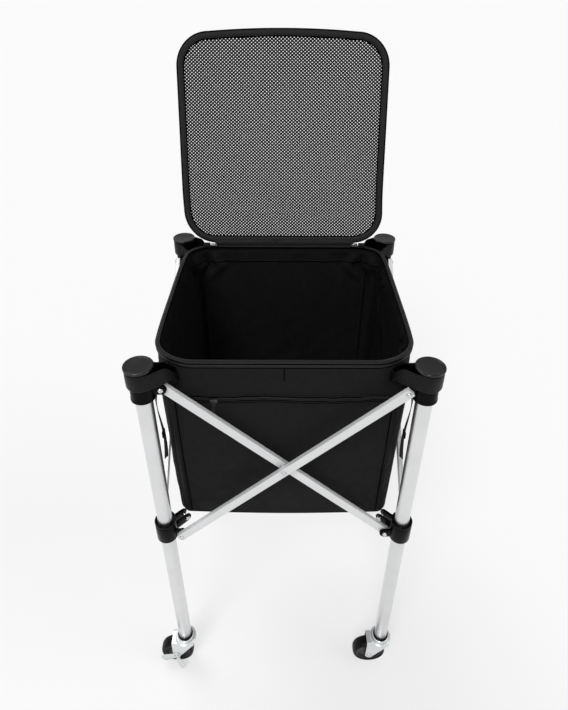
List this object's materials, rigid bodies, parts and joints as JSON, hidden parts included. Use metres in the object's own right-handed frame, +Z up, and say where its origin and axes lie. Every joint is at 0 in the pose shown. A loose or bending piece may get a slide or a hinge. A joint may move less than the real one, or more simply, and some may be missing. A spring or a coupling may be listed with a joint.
{
  "type": "tennis ball hopper",
  "caption": "Folding ball hopper cart: square legs frame of crossed aluminium bars on swivel casters, with a hanging open fabric bag and a hinged mesh lid.",
  "frame": {"origin": "on the floor at the middle of the four legs", "axes": "+Z up, -Y the front with the zipped pocket, +X to the right seen from the front"},
  "size_m": [0.571, 0.5798, 1.3001],
  "materials": {
    "aluminium_tube": "satin anodised",
    "black_nylon": "moulded glass-filled nylon, semi-gloss",
    "zinc_plate": "bright zinc-plated pressed steel",
    "bright_steel": "nickel-plated",
    "wheel_rubber": "dark grey thermoplastic rubber",
    "bag_fabric": "black woven polyester with a light sheen",
    "lid_netting": "black knitted mesh"
  },
  "bodies": {
    "frame_front_left": {"leg_front_left": "aluminium_tube", "top_cap_front_left": "black_nylon", "top_bracket_front_left": "black_nylon", "bag_corner_loop_front_left": "bag_fabric", "caster_socket_front_left": "black_nylon", "bag_front_wall": "bag_fabric", "bag_left_wall": "bag_fabric", "bag_front_pocket": "bag_fabric"},
    "frame_front_right": {"leg_front_right": "aluminium_tube", "top_cap_front_right": "black_nylon", "top_bracket_front_right": "black_nylon", "bag_corner_loop_front_right": "bag_fabric", "caster_socket_front_right": "black_nylon", "bag_right_wall": "bag_fabric"},
    "frame_rear_left": {"leg_rear_left": "aluminium_tube", "top_cap_rear_left": "black_nylon", "top_bracket_rear_left": "black_nylon", "bag_corner_loop_rear_left": "bag_fabric", "caster_socket_rear_left": "black_nylon", "bag_rear_wall": "bag_fabric", "lid_hinge_strip": "bag_fabric", "lid_zip_slider_left": "bright_steel", "lid_zip_slider_right": "bright_steel"},
    "frame_rear_right": {"leg_rear_right": "aluminium_tube", "top_cap_rear_right": "black_nylon", "top_bracket_rear_right": "black_nylon", "bag_corner_loop_rear_right": "bag_fabric", "caster_socket_rear_right": "black_nylon"},
    "bag_floor": {"bag_floor": "bag_fabric"},
    "lid": {"lid_frame": "bag_fabric", "lid_mesh": "lid_netting"},
    "pocket_slider": {"pocket_zip_slider": "bright_steel"},
    "pocket_puller": {"pocket_zip_puller": "bag_fabric"},
    "front_inner_bar": {"front_bar_inner": "aluminium_tube", "front_cross_rivet": "bright_steel"},
    "front_outer_bar": {"front_bar_outer": "aluminium_tube"},
    "left_inner_bar": {"left_bar_inner": "aluminium_tube", "left_cross_rivet": "bright_steel"},
    "left_outer_bar": {"left_bar_outer": "aluminium_tube"},
    "right_inner_bar": {"right_bar_inner": "aluminium_tube", "right_cross_rivet": "bright_steel"},
    "right_outer_bar": {"right_bar_outer": "aluminium_tube"},
    "rear_inner_bar": {"rear_bar_inner": "aluminium_tube", "rear_cross_rivet": "bright_steel"},
    "rear_outer_bar": {"rear_bar_outer": "aluminium_tube"},
    "collar_front_left": {"slider_collar_front_left": "black_nylon"},
    "fork_front_left": {"caster_fork_front_left": "zinc_plate"},
    "wheel_front_left": {"caster_wheel_front_left": "wheel_rubber"},
    "collar_front_right": {"slider_collar_front_right": "black_nylon"},
    "fork_front_right": {"caster_fork_front_right": "zinc_plate"},
    "wheel_front_right": {"caster_wheel_front_right": "wheel_rubber"},
    "collar_rear_left": {"slider_collar_rear_left": "black_nylon"},
    "fork_rear_left": {"caster_fork_rear_left": "zinc_plate"},
    "wheel_rear_left": {"caster_wheel_rear_left": "wheel_rubber"},
    "collar_rear_right": {"slider_collar_rear_right": "black_nylon"},
    "fork_rear_right": {"caster_fork_rear_right": "zinc_plate"},
    "wheel_rear_right": {"caster_wheel_rear_right": "wheel_rubber"},
    "brake_front_left": {"brake_lever_front_left": "zinc_plate"},
    "brake_rear_right": {"brake_lever_rear_right": "zinc_plate"}
  },
  "joints": [
    {"name": "fold", "type": "hinge", "parent": "frame_front_left", "child": "front_inner_bar", "pos_m": [-0.1945, -0.229, 0.847], "axis": [0, 1, 0], "range_deg": [0, 40.1], "deforming": ["bag_front_wall", "bag_rear_wall", "bag_left_wall", "bag_right_wall", "bag_floor", "bag_front_pocket", "lid_frame", "lid_mesh", "lid_hinge_strip", "lid_zip_slider_left", "lid_zip_slider_right", "bag_corner_loop_front_left", "bag_corner_loop_front_right", "bag_corner_loop_rear_left", "bag_corner_loop_rear_right"]},
    {"name": "front_cross", "type": "hinge", "parent": "front_inner_bar", "child": "front_outer_bar", "pos_m": [0, -0.229, 0.6655], "axis": [0, 1, 0], "range_deg": [-80.7, 0]},
    {"name": "front_right_leg_pivot", "type": "hinge", "parent": "front_outer_bar", "child": "frame_front_right", "pos_m": [0.1945, -0.229, 0.847], "axis": [0, 1, 0], "range_deg": [0, 40.6]},
    {"name": "front_right_collar_pivot", "type": "hinge", "parent": "front_inner_bar", "child": "collar_front_right", "pos_m": [0.1945, -0.229, 0.484], "axis": [0, 1, 0], "range_deg": [-40.6, 0]},
    {"name": "front_left_collar_pivot", "type": "hinge", "parent": "front_outer_bar", "child": "collar_front_left", "pos_m": [-0.1945, -0.229, 0.484], "axis": [0, 1, 0], "range_deg": [0, 40.6]},
    {"name": "left_bar_pivot", "type": "hinge", "parent": "frame_front_left", "child": "left_inner_bar", "pos_m": [-0.229, -0.1945, 0.847], "axis": [-1, 0, 0], "range_deg": [0, 40.6]},
    {"name": "left_cross", "type": "hinge", "parent": "left_inner_bar", "child": "left_outer_bar", "pos_m": [-0.229, 0, 0.6655], "axis": [-1, 0, 0], "range_deg": [-80.7, 0]},
    {"name": "rear_left_leg_pivot", "type": "hinge", "parent": "left_outer_bar", "child": "frame_rear_left", "pos_m": [-0.229, 0.1945, 0.847], "axis": [-1, 0, 0], "range_deg": [0, 40.6]},
    {"name": "rear_left_collar_pivot", "type": "hinge", "parent": "left_inner_bar", "child": "collar_rear_left", "pos_m": [-0.229, 0.1945, 0.484], "axis": [-1, 0, 0], "range_deg": [-40.6, 0]},
    {"name": "right_bar_pivot", "type": "hinge", "parent": "frame_front_right", "child": "right_inner_bar", "pos_m": [0.229, -0.1945, 0.847], "axis": [-1, 0, 0], "range_deg": [0, 40.6]},
    {"name": "right_cross", "type": "hinge", "parent": "right_inner_bar", "child": "right_outer_bar", "pos_m": [0.229, 0, 0.6655], "axis": [-1, 0, 0], "range_deg": [-80.7, 0]},
    {"name": "rear_right_leg_pivot", "type": "hinge", "parent": "right_outer_bar", "child": "frame_rear_right", "pos_m": [0.229, 0.1945, 0.847], "axis": [-1, 0, 0], "range_deg": [0, 40.6]},
    {"name": "rear_right_collar_pivot", "type": "hinge", "parent": "right_inner_bar", "child": "collar_rear_right", "pos_m": [0.229, 0.1945, 0.484], "axis": [-1, 0, 0], "range_deg": [-40.6, 0]},
    {"name": "rear_bar_pivot", "type": "hinge", "parent": "frame_rear_left", "child": "rear_inner_bar", "pos_m": [-0.1945, 0.229, 0.847], "axis": [0, 1, 0], "range_deg": [0, 40.6]},
    {"name": "rear_cross", "type": "hinge", "parent": "rear_inner_bar", "child": "rear_outer_bar", "pos_m": [0, 0.229, 0.6655], "axis": [0, 1, 0], "range_deg": [-80.7, 0]},
    {"name": "bag_floor_fold", "type": "hinge", "parent": "frame_front_left", "child": "bag_floor", "pos_m": [0, -0.1987, 0.5047], "axis": [1, 0, 0], "range_deg": [0, 90.32]},
    {"name": "lid_hinge", "type": "hinge", "parent": "frame_rear_left", "child": "lid", "pos_m": [0, 0.203, 0.8845], "axis": [1, 0, 0], "range_deg": [0, 105]},
    {"name": "pocket_zip", "type": "slide", "parent": "frame_front_left", "child": "pocket_slider", "axis": [1, 0, 0], "range_m": [-0.018, 0.25]},
    {"name": "pocket_puller_swing", "type": "hinge", "parent": "pocket_slider", "child": "pocket_puller", "pos_m": [-0.117, -0.207, 0.7957], "axis": [0, 1, 0], "range_deg": [-50, 50]},
    {"name": "swivel_front_left", "type": "hinge", "parent": "frame_front_left", "child": "fork_front_left", "pos_m": [-0.225, -0.225, 0.086], "axis": [0, 0, 1], "continuous": true},
    {"name": "wheel_spin_front_left", "type": "hinge", "parent": "fork_front_left", "child": "wheel_front_left", "pos_m": [-0.248, -0.225, 0.0375], "axis": [0, 1, 0], "continuous": true},
    {"name": "brake_front_left", "type": "hinge", "parent": "fork_front_left", "child": "brake_front_left", "pos_m": [-0.248, -0.225, 0.0375], "axis": [0, 1, 0], "range_deg": [0, 25]},
    {"name": "swivel_front_right", "type": "hinge", "parent": "frame_front_right", "child": "fork_front_right", "pos_m": [0.225, -0.225, 0.086], "axis": [0, 0, 1], "continuous": true},
    {"name": "wheel_spin_front_right", "type": "hinge", "parent": "fork_front_right", "child": "wheel_front_right", "pos_m": [0.202, -0.225, 0.0375], "axis": [0, 1, 0], "continuous": true},
    {"name": "swivel_rear_left", "type": "hinge", "parent": "frame_rear_left", "child": "fork_rear_left", "pos_m": [-0.225, 0.225, 0.086], "axis": [0, 0, 1], "continuous": true},
    {"name": "wheel_spin_rear_left", "type": "hinge", "parent": "fork_rear_left", "child": "wheel_rear_left", "pos_m": [-0.202, 0.225, 0.0375], "axis": [0, 1, 0], "continuous": true},
    {"name": "swivel_rear_right", "type": "hinge", "parent": "frame_rear_right", "child": "fork_rear_right", "pos_m": [0.225, 0.225, 0.086], "axis": [0, 0, 1], "continuous": true},
    {"name": "wheel_spin_rear_right", "type": "hinge", "parent": "fork_rear_right", "child": "wheel_rear_right", "pos_m": [0.248, 0.225, 0.0375], "axis": [0, 1, 0], "continuous": true},
    {"name": "brake_rear_right", "type": "hinge", "parent": "fork_rear_right", "child": "brake_rear_right", "pos_m": [0.248, 0.225, 0.0375], "axis": [0, -1, 0], "range_deg": [0, 25]}
  ],
  "couplings": [
    {"joint": "front_cross", "follows": "fold", "ratio": -2},
    {"joint": "front_right_leg_pivot", "follows": "fold", "ratio": 1},
    {"joint": "front_right_collar_pivot", "follows": "fold", "ratio": -1},
    {"joint": "front_left_collar_pivot", "follows": "fold", "ratio": 1},
    {"joint": "left_bar_pivot", "follows": "fold", "ratio": 1},
    {"joint": "left_cross", "follows": "fold", "ratio": -2},
    {"joint": "rear_left_leg_pivot", "follows": "fold", "ratio": 1},
    {"joint": "rear_left_collar_pivot", "follows": "fold", "ratio": -1},
    {"joint": "right_bar_pivot", "follows": "fold", "ratio": 1},
    {"joint": "right_cross", "follows": "fold", "ratio": -2},
    {"joint": "rear_right_leg_pivot", "follows": "fold", "ratio": 1},
    {"joint": "rear_right_collar_pivot", "follows": "fold", "ratio": -1},
    {"joint": "rear_bar_pivot", "follows": "fold", "ratio": 1},
    {"joint": "rear_cross", "follows": "fold", "ratio": -2},
    {"joint": "bag_floor_fold", "follows": "fold", "ratio": 2.24}
  ]
}
